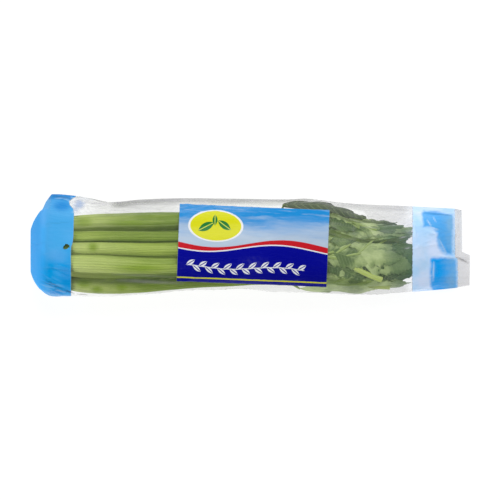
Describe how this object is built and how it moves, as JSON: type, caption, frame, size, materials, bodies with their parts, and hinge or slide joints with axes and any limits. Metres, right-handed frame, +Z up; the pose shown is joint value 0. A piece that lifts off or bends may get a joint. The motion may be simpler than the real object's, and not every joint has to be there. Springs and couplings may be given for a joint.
{
  "type": "head of celery",
  "caption": "Head of celery lying on its side: ribbed stalks on a cut root plate, with toothed leafy tops, in a thin clear film bag open at the leafy end.",
  "frame": {"origin": "middle of the bag's footprint, on the surface that it lies on", "axes": "+X along the head from the cut butt towards the leafy tops and the bag's mouth, +Z up"},
  "size_m": [0.463, 0.1075, 0.0782],
  "materials": {
    "root_plate": "fresh plant tissue, cut flat and lightly browned, matte",
    "stalk": "fresh celery stalk, waxy green with fine lengthwise ribs, paler towards the butt",
    "heart_stalk": "pale yellow-green inner celery stalk, waxy",
    "leaf": "fresh celery leaf, veined and soft, slightly glossy, lighter underneath",
    "heart_leaf": "young celery leaf, pale yellow-green",
    "bag_film": "thin clear glossy polypropylene film, crinkled, with sky-blue printed ends and a plain printed panel without text"
  },
  "bodies": {
    "root": {"stem_base": "root_plate", "stalk_outer_1": "stalk", "stalk_outer_2": "stalk", "stalk_outer_3": "stalk", "stalk_outer_4": "stalk", "stalk_outer_5": "stalk", "stalk_outer_6": "stalk", "stalk_outer_7": "stalk", "stalk_outer_8": "stalk", "stalk_inner_1": "stalk", "stalk_inner_2": "stalk", "stalk_inner_3": "stalk", "stalk_inner_4": "stalk", "stalk_inner_5": "stalk", "stalk_heart_1": "heart_stalk", "stalk_heart_2": "heart_stalk", "stalk_heart_3": "heart_stalk", "leaves_outer_1": "leaf", "leaves_outer_4": "leaf", "leaves_outer_5": "leaf", "leaves_outer_6": "leaf", "leaves_outer_8": "leaf", "leaves_inner_1": "leaf", "leaves_inner_2": "leaf", "leaves_inner_3": "leaf", "leaves_inner_4": "leaf", "leaves_inner_5": "leaf", "leaves_heart_1": "heart_leaf", "leaves_heart_2": "heart_leaf", "leaves_heart_3": "heart_leaf", "film_bag": "bag_film"}
  },
  "joints": []
}
